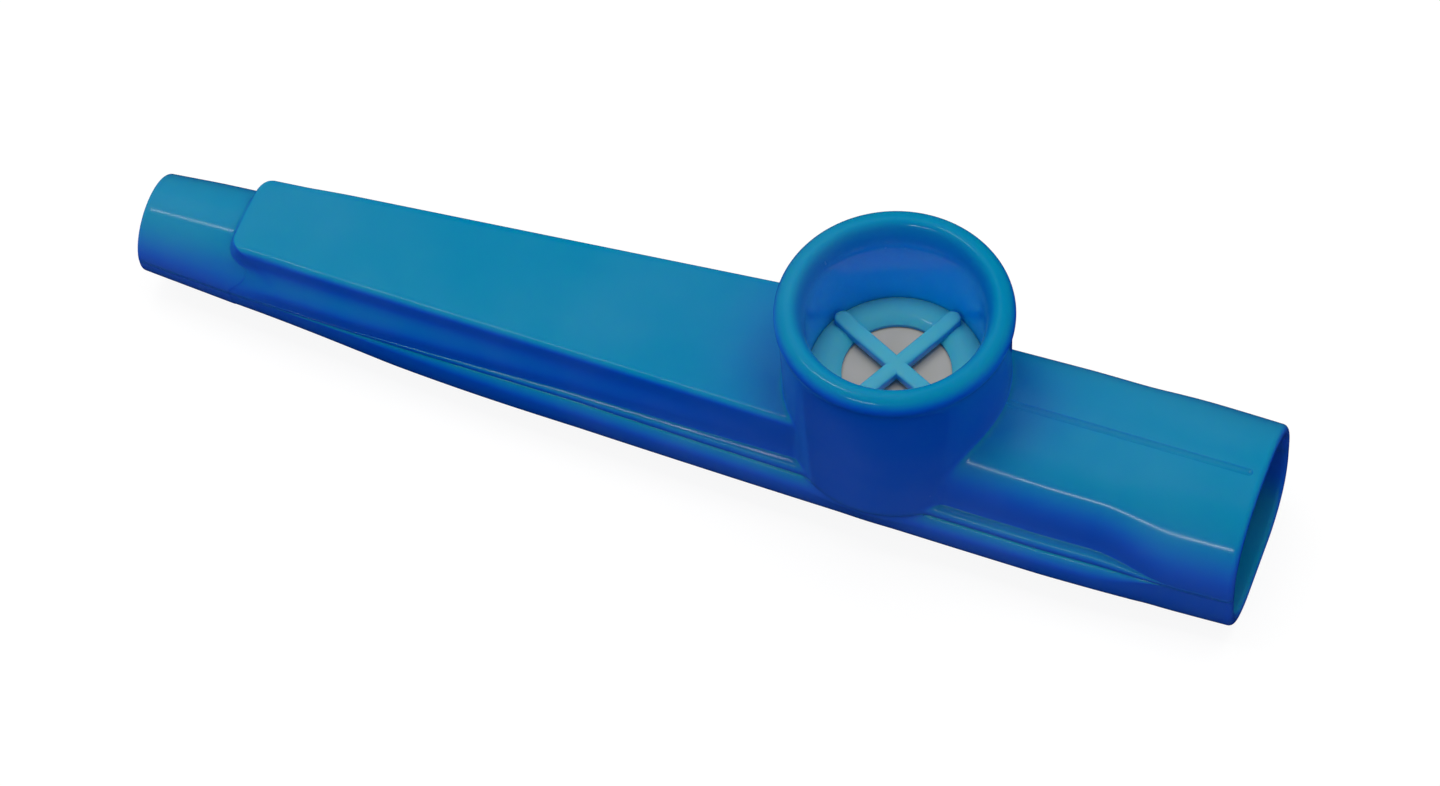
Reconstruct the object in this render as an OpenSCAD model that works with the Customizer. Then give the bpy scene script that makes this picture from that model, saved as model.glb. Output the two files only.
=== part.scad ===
// Kazoo, lying along X with its mouth towards +X, centred over the origin.
// Y is the width and Z the height above the flat underside that it rests on.
// Places along the length are given as distances from the small open end.

/* [Body] */
// Overall length from the small end to the mouth
body_length = 120; // [100:1:140]
// Length of plain round tube in front of the raised deck
tube_length = 10.6; // [9:0.1:13]
// Outer diameter of the tube at the small end
tip_diameter = 10.4; // [9.8:0.1:11]
// Outer diameter of the tube where the deck begins
tube_diameter = 12.1; // [11.6:0.1:12.6]
// Diameter of the air hole through the tube
bore_diameter = 7.8; // [6:0.1:8]
// Widest width of the body, measured across the seam
hull_width = 20.4; // [19.4:0.1:21.4]
// Length over which the body narrows again towards the mouth
mouth_taper = 20; // [15:1:25]
// Height of the tube's axis above the underside
axis_height = 7.2; // [6.6:0.1:7.8]
// Height of the seam between the shells, from seam_run to the mouth
seam_height = 9.2; // [8.6:0.1:9.8]
// Distance from the small end over which the seam climbs
seam_run = 50; // [42:1:58]
// Wall thickness of both shells
wall = 1.3; // [1:0.1:1.5]
// Rounding of the outer edge at both open ends
lip_round = 0.3; // [0.1:0.05:0.4]
// Depth that the rounded underside would reach below the flat one
flat_depth = 0.25; // [0.1:0.05:0.4]

/* [Deck] */
// Width of the deck at its narrow front end
deck_front_width = 8.9; // [8.2:0.1:9.6]
// Width of the deck where it meets the turret's axis
deck_back_width = 16.4; // [15.6:0.1:17]
// Height of the deck's top at its front end
deck_front_height = 13.9; // [13.5:0.1:14.4]
// Height of the deck's top at the turret's axis
deck_back_height = 16.9; // [16.4:0.1:17.1]
// Radius of the deck's two front corners, seen from above
deck_corner = 2; // [1:0.1:3]
// Rounding of the deck's front top edge
deck_edge = 0.6; // [0.3:0.1:0.9]
// How far the deck's front face leans back
deck_draft = 0.2; // [0.1:0.05:0.4]
// Width of the shoulder between the seam and the foot of the side walls
shoulder_width = 1; // [0.7:0.1:1.3]
// Height of that shoulder above the seam
shoulder_height = 0.7; // [0.4:0.1:1]

/* [Mouth] */
// Width of the mouth
mouth_width = 19.8; // [19:0.1:20.2]
// Height of the top just behind the turret
mouth_side_height = 17.9; // [17.5:0.1:18.3]
// Height of the top at the mouth
mouth_height = 17.1; // [16.7:0.1:17.5]
// Width of the top between the turret and the mouth
mouth_side_width = 16.6; // [15.8:0.1:17.2]
// Length over which the shoulder fades out in front of the mouth
mouth_blend = 13; // [10:0.5:16]
// Width of the fine bead along the top
bead_width = 0.65; // [0.4:0.05:0.9]
// Height of the bead
bead_height = 0.15; // [0.1:0.05:0.25]
// Distance from the bead's end to the mouth
bead_gap = 2.6; // [1.5:0.1:4]

/* [Turret] */
// Distance of the turret's axis from the mouth
turret_to_mouth = 38.1; // [36:0.1:41]
// Outer diameter of the turret where it meets the seam
turret_foot_diameter = 22.6; // [22:0.1:23]
// Outer diameter of the turret just under its rim
turret_neck_diameter = 23.1; // [22.8:0.1:23.3]
// Outer diameter of the rim
rim_diameter = 23.8; // [23.5:0.1:24.2]
// Height of the rim's top above the underside
turret_height = 29.8; // [28:0.1:32]
// Inner diameter of the cup
cup_diameter = 17.8; // [17.2:0.1:18.2]
// Height of the seat that the membrane lies on
seat_height = 17.2; // [17.1:0.1:17.8]
// Thickness of the seat
seat_thickness = 1.3; // [1:0.1:1.6]
// Diameter of the hole in the seat
seat_hole_diameter = 12.4; // [11.4:0.1:13]
// Depth below the seam over which the turret's foot runs into the lower shell
foot_depth = 4; // [3:0.1:5]

/* [Membrane] */
// Thickness of the ring that carries the membrane
ring_thickness = 0.3; // [0.2:0.05:0.5]
// Thickness of the membrane
film_thickness = 0.1; // [0.05:0.01:0.2]
// Width of the glued band where the membrane lies on its ring
glue_width = 2.2; // [1.5:0.1:2.4]
// Radial clearance of the ring in the cup
ring_clearance = 0.1; // [0.05:0.01:0.2]

/* [Grille] */
// Diameter of the round opening in the grille
grille_hole_diameter = 11; // [10.4:0.1:11.6]
// Thickness of the grille's flange at its two edges
grille_edge = 0.5; // [0.3:0.05:0.7]
// Thickness of the flange at its rounded crest
grille_crest = 1.15; // [1:0.05:1.4]
// Height of the cross bars' tops above the grille's underside
bar_top = 2.15; // [1.9:0.05:2.6]
// Depth of a cross bar
bar_depth = 1.35; // [1.2:0.05:1.6]
// Width of a cross bar
bar_width = 1.4; // [1:0.1:1.8]
// Length of a cross bar over its two rounded ends
bar_span = 17.2; // [16.4:0.1:17.6]
// Turn of the cross about the cup's axis, in degrees
cross_angle = 60; // [0:1:90]
// Radial clearance of the grille in the cup
grille_clearance = 0.05; // [0.02:0.01:0.1]

/* [Hidden] */
// Facets of the turned surfaces
$fn = 96;
// How far a cut runs past the surface that it opens
overrun = 1;
// Points on the lower half of a section, on one shoulder and on one side of the top
lower_steps = 24;
shoulder_steps = 3;
top_steps = 11;
// Points over the crest of the grille's flange
crest_steps = 8;
// Superellipse exponents of the section, where 2 is round and higher is squarer
round_power = 2;
hull_power = 3;
deck_power = 9;
side_power = 6;
mouth_power = 3.1;
// Places along the deck's rounded front corner, as shares of its radius
corner_shares = [0, 0.12, 0.35, 0.65, 1];
// Share of the tube's quarter circle that lies under the shoulder
tube_shoulder_share = 0.43;
// Share of the turret's radius, to each side of its axis, over which the top's height changes
crossing_share = 0.5;
// Rise of the body's width just before the widest place, as a share of the tube's
widest_slope_share = 0.3;
// Crown of the top behind the turret, as a share of its width
crown_share = 0.03;
// Numbers of sections along the deck, in front of and beside the turret, to the mouth and along the bead
deck_sections = 5;
back_sections = 4;
side_sections = 4;
blend_sections = 6;
bead_sections = 8;

widest_x = body_length - mouth_taper;
turret_x = body_length - turret_to_mouth;
tip_r = tip_diameter / 2;
tube_r = tube_diameter / 2;
hull_r = hull_width / 2;
mouth_r = mouth_width / 2;
foot_r = turret_foot_diameter / 2;
neck_r = turret_neck_diameter / 2;
cup_r = cup_diameter / 2;
seat_hole_r = seat_hole_diameter / 2;
rim_tube_r = (rim_diameter / 2 - cup_r) / 2;
rim_centre_r = rim_diameter / 2 - rim_tube_r;
rim_centre_z = turret_height - rim_tube_r;
tube_slope = (tube_r - tip_r) / tube_length;
deck_start = tube_length + deck_draft;
blend_start = body_length - mouth_blend;
crossing = foot_r * crossing_share;
ring_r = cup_r - ring_clearance;
film_z = seat_height + ring_thickness;
grille_z = film_z + film_thickness;
grille_r = cup_r - grille_clearance;
grille_hole_r = grille_hole_diameter / 2;

// Shape of the body along its length

function clamp(s) = max(0, min(1, s));
function ease(s) = clamp(s) * clamp(s) * (3 - 2 * clamp(s));
function mix(a, b, s) = a + (b - a) * s;
function part_of(x, from, to) = clamp((x - from) / (to - from));

// A smooth curve from value a with rise m to value b with rise n, for s from 0 to 1
function curve(s, a, m, b, n) =
    a * (1 + 2 * s) * pow(1 - s, 2) + m * s * pow(1 - s, 2)
    + b * s * s * (3 - 2 * s) - n * s * s * (1 - s);

// Half of the body's width at the seam
function seam_half(x) =
    x < widest_x
    ? curve(x / widest_x, tip_r, tube_slope * widest_x,
            hull_r, tube_slope * widest_x * widest_slope_share)
    : mix(hull_r, mouth_r, pow(part_of(x, widest_x, body_length), 2));
function half_width(x) = x <= tube_length ? tip_r + tube_slope * x : seam_half(x);

// Heights of the seam and of the underside
function seam_z(x) = mix(axis_height, seam_height, part_of(x, tube_length, seam_run));
function under_z(x) = max(0, axis_height - half_width(x));

// Height of the top, without its crown
function deck_z(x) = mix(deck_front_height, deck_back_height, part_of(x, tube_length, turret_x));
function side_z(x) = mix(mouth_side_height, mouth_height, part_of(x, turret_x, body_length));
function across(x) = ease(part_of(x, turret_x - crossing, turret_x + crossing));
function top_z(x) = mix(deck_z(x), side_z(x), across(x));
function crown(x) = crown_share * mouth_side_width * across(x) * (1 - fade(x));

// Fading of the shoulder in front of the mouth, and rounding of the deck's front corners
function fade(x) = ease(part_of(x, blend_start, body_length));
function corner(x) = 1 - sqrt(1 - pow(1 - part_of(x, deck_start, deck_start + deck_corner), 2));

// Half width of the top, and of the foot of the side walls
function deck_half(x) = mix(deck_front_width, deck_back_width, part_of(x, tube_length, turret_x)) / 2;
function top_half(x) =
    mix(mix(deck_half(x), mouth_side_width / 2, across(x)), half_width(x), fade(x))
    - deck_corner * corner(x);
function foot_half(x) =
    mix(half_width(x) - shoulder_width, half_width(x), fade(x)) - deck_corner * corner(x) / 2;
function rise(x) =
    mix(tube_r * sin(90 * tube_shoulder_share), shoulder_height, squareness(x)) * (1 - fade(x));

// How far the section has turned from the tube's circle into the hull's shape
function squareness(x) = ease(part_of(x, tube_length, seam_run));
function lower_power(x) = mix(round_power, hull_power, squareness(x));
function upper_power(x) = mix(mix(deck_power, side_power, across(x)), mouth_power, fade(x));

// One quarter of a superellipse, as [share of the half width, share of the height]
function bow(t, n) = [pow(max(cos(t), 0), 2 / n), pow(max(sin(t), 0), 2 / n)];

// Lower half of the section at x, from -Y round to +Y, drawn in by the inset e
function lower_points(x, e) = [
    for (i = [0 : lower_steps])
        let (t = 180 * i / lower_steps,
             q = bow(t > 90 ? 180 - t : t, lower_power(x)),
             side = t > 90 ? 1 : -1,
             bottom = under_z(x) + e,
             round_bottom = bottom - flat_depth * squareness(x))
        [x, side * (half_width(x) - e) * q[0], max(bottom, mix(seam_z(x), round_bottom, q[1]))]
];

// One side of the upper half, from the seam up to the middle of the top
function round_side(x, e) = [
    for (i = [0 : shoulder_steps + top_steps])
        let (t = 90 * (i < shoulder_steps
                       ? tube_shoulder_share * i / shoulder_steps
                       : mix(tube_shoulder_share, 1, (i - shoulder_steps) / top_steps)))
        [(half_width(x) - e) * cos(t), axis_height + (half_width(x) - e) * sin(t)]
];
function deck_side(x, e) = [
    for (i = [0 : shoulder_steps + top_steps])
        let (foot_y = foot_half(x) - e,
             foot_z = seam_z(x) + rise(x),
             high = top_z(x) - deck_edge * corner(x) - e - foot_z,
             lean = 1 - (top_half(x) - e) / foot_y,
             a = 90 * i / shoulder_steps,
             q = bow(90 * (i - shoulder_steps) / top_steps, upper_power(x)))
        i < shoulder_steps
        ? [mix(foot_y, half_width(x) - e, cos(a)), mix(seam_z(x), foot_z, sin(a))]
        : [foot_y * q[0] * (1 - lean * q[1]), foot_z + high * q[1] + crown(x) * (1 - q[0] * q[0])]
];
function upper_points(x, e) =
    let (side = x > tube_length ? deck_side(x, e) : round_side(x, e), last = len(side) - 1)
    concat(
        [for (i = [0 : last]) [x, side[i][0], side[i][1]]],
        [for (i = [last - 1 : -1 : 0]) [x, -side[i][0], side[i][1]]]
    );

// Places of the sections along X, from the deck's front to the mouth
deck_places = concat(
    [for (s = corner_shares) deck_start + deck_corner * s],
    [for (i = [1 : deck_sections]) mix(deck_start + deck_corner, seam_run, i / deck_sections)],
    [for (i = [1 : back_sections]) mix(seam_run, turret_x - crossing, i / back_sections)],
    [for (i = [1 : side_sections]) mix(turret_x - crossing, turret_x + crossing, i / side_sections)],
    [for (i = [1 : side_sections]) mix(turret_x + crossing, blend_start, i / side_sections)],
    [for (i = [1 : blend_sections]) mix(blend_start, body_length - lip_round, i / blend_sections)]
);
// The outer sections, each with how far it is drawn in
outer_places = concat(
    [[0, lip_round], [lip_round, 0], [tube_length, 0]],
    [for (x = deck_places) [x, 0]],
    [[body_length, lip_round]]
);
// The hollow begins one wall behind the deck's front and runs out of the mouth
hollow_start = tube_length + wall;
hollow_places = concat(
    [hollow_start],
    [for (x = deck_places) if (x > deck_start + deck_corner) x],
    [body_length]
);

// A solid skinned over rings of points, each ring having the same number of points
module loft(rings) {
    n = len(rings[0]);
    last = len(rings) - 1;
    points = [for (ring = rings) for (p = ring) p];
    sides = [
        for (i = [0 : last - 1])
            for (j = [0 : n - 1])
                let (k = (j + 1) % n, a = i * n + j, b = i * n + k, c = a + n, d = b + n)
                for (f = [[a, d, b], [a, c, d]]) f
    ];
    start = [[for (j = [0 : n - 1]) j]];
    end = [[for (j = [n - 1 : -1 : 0]) last * n + j]];
    polyhedron(points = points, faces = concat(sides, start, end));
}

// The rings of a hollow, with one more past the mouth so that it cuts right through
function carried_out(rings) =
    concat(rings, [[for (p = rings[len(rings) - 1]) p + [overrun, 0, 0]]]);
// A ring with its two seam points carried past the seam by the given height
function opened(ring, height) =
    concat([ring[0] + [0, 0, height]], ring, [ring[len(ring) - 1] + [0, 0, height]]);

module lower_form() {
    loft([for (p = outer_places) lower_points(p[0], p[1])]);
}

module lower_hollow() {
    loft(carried_out([for (x = hollow_places) opened(lower_points(x, wall), overrun)]));
}

module upper_form() {
    loft([for (p = outer_places) upper_points(p[0], p[1])]);
}

module upper_hollow() {
    loft(carried_out([for (x = hollow_places) opened(upper_points(x, wall), -overrun)]));
}

// Carries a piece from distances along the body to its place over the origin
module placed() {
    translate([-body_length / 2, 0, 0])
        children();
}

// The air hole of the tube
module tube_bore() {
    translate([-overrun, 0, axis_height])
        rotate([0, 90, 0])
            cylinder(h = hollow_start + 2 * overrun, d = bore_diameter);
}

// Outside of the turret, from the seam up to its rolled rim
module turret_form() {
    translate([turret_x, 0, 0])
        rotate_extrude() {
            polygon([
                [0, seam_height],
                [foot_r, seam_height],
                [neck_r, rim_centre_z],
                [0, rim_centre_z]
            ]);
            translate([rim_centre_r, rim_centre_z])
                circle(r = rim_tube_r);
        }
}

// Space of the seat, which the hollow of the body leaves solid
module seat_zone() {
    translate([turret_x, 0, seat_height - seat_thickness])
        cylinder(h = seat_thickness + overrun, r = foot_r - wall);
}

// Cup, hole in the seat, and the chamber under the seat
module turret_hollow() {
    translate([turret_x, 0, 0]) {
        translate([0, 0, seat_height])
            cylinder(h = turret_height - seat_height + overrun, r = cup_r);
        translate([0, 0, seam_height])
            cylinder(h = seat_height - seam_height + overrun, r = seat_hole_r);
        translate([0, 0, seam_height - overrun])
            cylinder(h = seat_height - seat_thickness - seam_height + overrun, r = foot_r - wall);
    }
}

// The turret's foot below the seam, drawn in by the inset e
module foot_cone(e) {
    translate([turret_x, 0, seam_height - foot_depth])
        cylinder(h = foot_depth, r1 = half_width(turret_x) - shoulder_width - e, r2 = foot_r - e);
}

// The fine bead along the middle of the top, with a round end
module bead() {
    bead_start = turret_x + foot_r - wall;
    bead_end = body_length - bead_gap;
    places = [for (i = [0 : bead_sections]) mix(bead_start, bead_end, i / bead_sections)];
    translate([0, bead_width / 2, 0])
        rotate([90, 0, 0])
            linear_extrude(bead_width)
                polygon(concat(
                    [for (x = places) [x, top_z(x) + crown(x) + bead_height]],
                    [[bead_end, top_z(bead_end) - bead_width], [bead_start, top_z(bead_start) - bead_width]]
                ));
    translate([bead_end, 0, top_z(bead_end) - bead_width])
        cylinder(h = bead_width + crown(bead_end) + bead_height, d = bead_width);
}

// Upper half of the body with its deck and turret
module upper_shell() {
    color([0.03, 0.47, 0.66])
        placed()
            difference() {
                union() {
                    upper_form();
                    turret_form();
                    bead();
                }
                difference() {
                    upper_hollow();
                    seat_zone();
                }
                turret_hollow();
                tube_bore();
            }
}

// Lower half of the body
module lower_shell() {
    color([0.02, 0.36, 0.6])
        placed()
            difference() {
                union() {
                    lower_form();
                    foot_cone(0);
                }
                lower_hollow();
                foot_cone(wall);
                tube_bore();
            }
}

// Flat ring that keeps the membrane taut
module membrane_ring() {
    color([0.9, 0.9, 0.88])
        placed()
            translate([turret_x, 0, seat_height])
                difference() {
                    cylinder(h = ring_thickness, r = ring_r);
                    translate([0, 0, -overrun])
                        cylinder(h = ring_thickness + 2 * overrun, r = ring_r - glue_width);
                }
}

// Thin film that buzzes
module membrane() {
    color([0.68, 0.66, 0.68])
        placed()
            translate([turret_x, 0, film_z])
                cylinder(h = film_thickness, r = ring_r);
}

// One straight bar of the cross, with rounded ends and a softly crowned top
module bar() {
    cap_r = bar_width / 2;
    straight = bar_span - bar_width;
    intersection() {
        translate([0, 0, bar_top - bar_depth])
            linear_extrude(bar_depth) {
                square([straight, bar_width], center = true);
                for (side = [-1, 1])
                    translate([side * straight / 2, 0])
                        circle(r = cap_r);
            }
        translate([-bar_span / 2, 0, bar_top - bar_width])
            rotate([0, 90, 0])
                cylinder(h = bar_span, r = bar_width);
    }
}

// Retaining grille that is pressed into the cup and holds the membrane down
module grille() {
    middle_r = (grille_r + grille_hole_r) / 2;
    reach = (grille_r - grille_hole_r) / 2;
    color([0.1, 0.56, 0.72])
        placed()
            translate([turret_x, 0, grille_z]) {
                rotate_extrude()
                    polygon(concat(
                        [[grille_hole_r, 0], [grille_r, 0]],
                        [for (i = [0 : crest_steps])
                            let (a = 180 * i / crest_steps)
                            [middle_r + reach * cos(a), mix(grille_edge, grille_crest, sin(a))]]
                    ));
                rotate([0, 0, cross_angle])
                    intersection() {
                        cylinder(h = bar_top, r = grille_r);
                        union() {
                            bar();
                            rotate([0, 0, 90])
                                bar();
                        }
                    }
            }
}

upper_shell();
lower_shell();
membrane_ring();
membrane();
grille();
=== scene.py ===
# Kazoo of glossy blue plastic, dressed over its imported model, on a plain white floor.
# All lengths are in metres. Places along the body are distances from its small open end.
import math

import bmesh
import bpy
from mathutils import Matrix, Vector
from mathutils.bvhtree import BVHTree


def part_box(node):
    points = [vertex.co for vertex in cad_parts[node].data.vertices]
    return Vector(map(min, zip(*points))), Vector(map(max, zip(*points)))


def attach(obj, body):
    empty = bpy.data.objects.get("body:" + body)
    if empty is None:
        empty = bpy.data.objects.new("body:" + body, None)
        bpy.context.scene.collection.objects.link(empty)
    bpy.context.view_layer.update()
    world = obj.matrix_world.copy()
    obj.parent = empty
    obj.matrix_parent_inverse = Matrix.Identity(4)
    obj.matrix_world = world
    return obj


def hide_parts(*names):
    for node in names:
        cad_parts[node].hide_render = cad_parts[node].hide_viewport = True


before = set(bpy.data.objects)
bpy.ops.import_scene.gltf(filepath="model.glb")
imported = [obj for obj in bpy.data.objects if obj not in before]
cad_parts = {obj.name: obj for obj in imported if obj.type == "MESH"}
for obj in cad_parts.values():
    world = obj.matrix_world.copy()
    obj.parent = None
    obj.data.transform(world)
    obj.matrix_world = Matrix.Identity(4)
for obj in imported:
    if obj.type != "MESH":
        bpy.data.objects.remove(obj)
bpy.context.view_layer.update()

MM = 0.001
QUARTER_TURN = math.radians(90)
OVERRUN = 1 * MM

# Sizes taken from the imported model
upper_low, upper_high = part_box("upper_shell")
grille_low, grille_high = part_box("grille")
START = upper_low.x
LENGTH = upper_high.x - upper_low.x
TURRET_X = (grille_low.x + grille_high.x) / 2 - START
RIM_R = upper_high.y
RIM_TOP = upper_high.z
SEAT_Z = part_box("membrane_ring")[0].z
GRILLE_R = grille_high.y
GRILLE_Z = grille_low.z

# Body: its outline at the seam, and its walls
TUBE_LENGTH = 10.6 * MM
TIP_R = 5.2 * MM
TUBE_R = 6.05 * MM
TUBE_SLOPE = (TUBE_R - TIP_R) / TUBE_LENGTH
BORE_R = 3.9 * MM
HULL_R = 10.2 * MM
HULL_SLOPE_SHARE = 0.3
MOUTH_R = 9.9 * MM
MOUTH_TAPER = 20 * MM
WIDEST_X = LENGTH - MOUTH_TAPER
AXIS_Z = 7.2 * MM
SEAM_Z = 8.9 * MM
SEAM_RUN = 50 * MM
WALL = 1.3 * MM
HOLLOW_START = TUBE_LENGTH + WALL
TIP_ROUND = 0.3 * MM
LIP_ROUND = 0.6 * MM
SEAM_ROUND = 0.07 * MM
SEAM_BEND = 0.3 * SEAM_ROUND
SEAM_STEP = 0.03 * MM

# Lower shell: rounded flanks, and a narrow flat to rest on. A power of 2 gives a round section.
TUBE_POWER = 2
HULL_POWER = 3
FLANK_POWER = 2.15
FLANK_BULGE = 0.5 * MM
FLANK_ROUND = 2.2 * MM
FLANK_TILT = math.radians(50)
FLANK_FADE = 1 * MM
SEAM_LAND = 0.2 * MM
FLAT_DEPTH = 0.25 * MM
FLAT_BLEND = 0.12 * MM

# Deck
DECK_FRONT_HALF = 4.85 * MM
DECK_BACK_HALF = 8.65 * MM
DECK_FRONT_Z = 13.9 * MM
DECK_BACK_Z = 16.9 * MM
DECK_EDGE = 0.9 * MM
DECK_POWER = 9
WALL_STEP_TOP = 1.9 * MM
WALL_STEP_FOOT = 5 * MM

# Deck's front: the ramps up to it from the tube, and its rounded corners
DECK_LEAD = 0.35 * MM
DECK_RAMP = 0.5 * MM
FLANK_RAMP = 5 * MM
RAMP_LOW_Z = AXIS_Z + 0.5 * TUBE_R
RAMP_HIGH_Z = AXIS_Z + 0.9 * TUBE_R
DECK_CORNER = 1.9 * MM
BEND_START = 5 * MM
BEND_FULL = 9.5 * MM
BEND_END = TUBE_LENGTH + 11 * MM
BEND_RISE = 3 * MM

# Shoulder: the ledge above the seam, which grows towards the turret. Shares are of its own size.
SHOULDER_START = 25 * MM
SHOULDER_FULL = 75 * MM
SHOULDER_WIDTH = 1.05 * MM
SHOULDER_HEIGHT = 1.05 * MM
SHOULDER_LEAST_WIDTH = 0.03 * MM
SHOULDER_LEAST_HEIGHT = 0.3 * SHOULDER_HEIGHT
SHOULDER_FADE = 9 * MM
SHOULDER_END = 6 * MM
BROW_IN_SHARE = 0.06
BROW_UP_SHARE = 0.66
LEDGE_SHARE = 0.5
LEDGE_SLOPE = math.tan(math.radians(19))
VALLEY = 0.35 * MM
VALLEY_SHARE = 0.3

# Between the turret and the mouth
SIDE_Z = 18.2 * MM
MOUTH_Z = 17.5 * MM
SIDE_POWER = 3.1
MOUTH_POWER = 2.35
SIDE_START_DEGREES = 3

# Groove along the top behind the turret, and the dimple at its end. Shares are of its own size.
GROOVE_WIDTH = 0.86 * MM
GROOVE_DEPTH = 0.1 * MM
GROOVE_GAP = 1.2 * MM
GROOVE_SIDE_SHARE = 0.8
GROOVE_FLOOR_SHARE = 1.6
DIMPLE_R = 0.3 * GROOVE_WIDTH
DIMPLE_EDGE = 0.4 * GROOVE_DEPTH
DIMPLE_DEPTH = 2 * GROOVE_DEPTH

# Turret
FOOT_R = 11.3 * MM
FOOT_DEPTH = 4 * MM
CROSSING = FOOT_R / 2
CORE_R = FOOT_R - 0.6 * MM
NECK_R = 11.55 * MM
NECK_FILLET = 1.2 * MM
NECK_TURN_DEGREES = 20
CUP_R = 8.9 * MM
CUP_MARGIN = 0.3 * MM
ROLL_R = (RIM_R - CUP_R) / 2
ROLL_X = RIM_R - ROLL_R
ROLL_Z = RIM_TOP - ROLL_R
RIM_FLARE = 3.4 * MM
SEAT_HOLE_R = 6.2 * MM
SEAT_THICKNESS = 1.3 * MM
CHAMBER_R = FOOT_R - WALL
CHAMBER_TOP = SEAT_Z - SEAT_THICKNESS

# Fillets round the turret's foot, above and below the seam
TURRET_FILLET = 0.5 * MM
FOOT_FILLET = 1.6 * MM
FILLET_ZONE = 3 * MM
FILLET_PASSES = 4
FILLET_BEHIND_SHARE = 0.3
FILLET_LEAST_PULL = 0.2
ON_SEAM = 0.001 * MM

# Grille
HOLE_R = 5.5 * MM
FLANGE_EDGE = 0.5 * MM
FLANGE_CREST = 1.15 * MM
FLANGE_CHAMFER = 0.12 * MM
FLANGE_POWER = 0.8
BAR_TURN = math.radians(63)
BAR_TOP = 2.1 * MM
BAR_DEPTH = 1.3 * MM
BAR_WIDTH = 1.65 * MM
BAR_SPAN = 17.2 * MM
BAR_EDGE = 0.4 * MM
BAR_SIDE_POWER = 0.7
BAR_TOP_POWER = 0.8
BAR_END_DROP_SHARE = 0.5
BAR_END_LEAST = 0.02
NOSE_RISE = 0.2 * MM
NOSE_START = 2.6 * MM
NOSE_FULL = 1 * MM

# Numbers of steps round curves and turned solids
TIP_STEPS = 5
EDGE_STEPS = 8
VALLEY_STEPS = 5
LEDGE_POINTS = 3
WALL_POINTS = 12
FLANK_STEPS = 12
BELLY_STEPS = 48
HOLLOW_STEPS = 24
BORE_STEPS = 96
RIM_STEPS = 18
FOOT_STEPS = 16
COLUMN_STEPS = 192
TURRET_STEPS = 288
FLANGE_STEPS = 16
GRILLE_STEPS = 160
BAR_STEPS = 40
BAR_ROUND_STEPS = 14
GROOVE_END_STEPS = 12
DIMPLE_STEPS = 24

# Angles over which an edge stays sharp, and limits for points that almost meet
SHARP_ANGLE_BODY = math.radians(40)
SHARP_ANGLE_GRILLE = math.radians(35)
SAME_PLACE = 1e-8
LEAST_LENGTH = 1e-9
MOST_OF_LINE = 0.45

# Rows of points, as (start, spacing up to the next start)
FINE_ROW = 0.22 * MM
PLAIN_ROW = 0.9 * MM
GROOVE_ROW = 0.8 * MM
FILLET_TOP = SIDE_Z + 2 * MM
TURRET_REACH = 13.5 * MM
MOUTH_ROWS = LENGTH - 13 * MM
OUTER_ROWS = (
    (1 * MM, 1.2 * MM),
    (9.6 * MM, 0.3 * MM),
    (10.2 * MM, 0.07 * MM),
    (11.9 * MM, 0.6 * MM),
    (20 * MM, 1.2 * MM),
    (TURRET_X - TURRET_REACH, FINE_ROW),
    (TURRET_X + TURRET_REACH, 0.8 * MM),
    (MOUTH_ROWS, 0.4 * MM),
    (LENGTH - LIP_ROUND, 0),
)
HOLLOW_ROWS = (
    (HOLLOW_START, 1.5 * MM),
    (TURRET_X, 1 * MM),
    (MOUTH_ROWS, 0.6 * MM),
    (LENGTH - LIP_ROUND, 0),
)

# Colours, as linear light
# Body colours: clear, then painted shade in nooks, painted shade on sides and painted light in
# hollows
BODY_CLEAR = (0, 0.235, 0.42)
BODY_PAINTED_NOOK_SHADE = (0, 0.14, 0.43)
BODY_PAINTED_SIDE_SHADE = (0, 0.1, 0.68)
BODY_PAINTED_HOLLOW_LIGHT = (0, 0.42, 1)
# Grille colours: clear, then painted shade in nooks, painted shade on sides and painted light in
# hollows
GRILLE_CLEAR = (0.08, 0.45, 0.54)
GRILLE_PAINTED_NOOK_SHADE = (0.05, 0.43, 0.57)
GRILLE_PAINTED_SIDE_SHADE = (0.02, 0.3, 0.6)
GRILLE_PAINTED_HOLLOW_LIGHT = (0.03, 0.55, 0.78)
FILM_DARK = (0.44, 0.42, 0.35)
FILM_LIGHT = (0.52, 0.49, 0.42)
RING_DARK = (0.7, 0.7, 0.68)
RING_LIGHT = (0.82, 0.82, 0.8)

# Painted shade and light in the plastic's colour, set by how far a face looks up and by how open
# its place is: painted shade on sides and in nooks, painted light in hollows and at the top of the
# cup's inner wall
PAINTED_SIDE_SHADE_RANGE = (0.93, 0.1)
PAINTED_NOOK_SHADE_RANGE = (0.96, 0.62)
PAINTED_HOLLOW_LIGHT_RANGE = (0.6, 0.22)
SHELTER_REACH = 40 * MM
SHELTER_SAMPLES = 8
# Painted light: a lighter patch at the top of the cup's inner wall
RIM_LIT_SHARE = 0.85
RIM_LIT_RADII = (CUP_R + 2.6 * MM, CUP_R + 1.4 * MM)
RIM_LIT_HEIGHTS = (RIM_TOP - 5.5 * MM, RIM_TOP - 0.5 * MM)

# Noise, as (scale, detail, stretch), and the part of it that shows
CLOUD_NOISE = (45, 3)
CLOUD_RANGE = (0.3, 0.75)
SMEAR_NOISE = (120, 5, (1, 3, 3))
SMEAR_RANGE = (0.45, 0.75)
ALONG_NOISE = (900, 2, (0.12, 1, 1))
ALONG_RANGE = (0.7, 0.78)
CROSSED_NOISE = (700, 2, (1, 0.1, 1))
CROSSED_RANGE = (0.72, 0.8)
PEEL_NOISE = (260, 1)
FIBRE_NOISE = (500, 6, (1, 2, 1))
FILM_NOISE = (130, 2)
FILM_RANGE = (0.3, 0.7)

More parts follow.
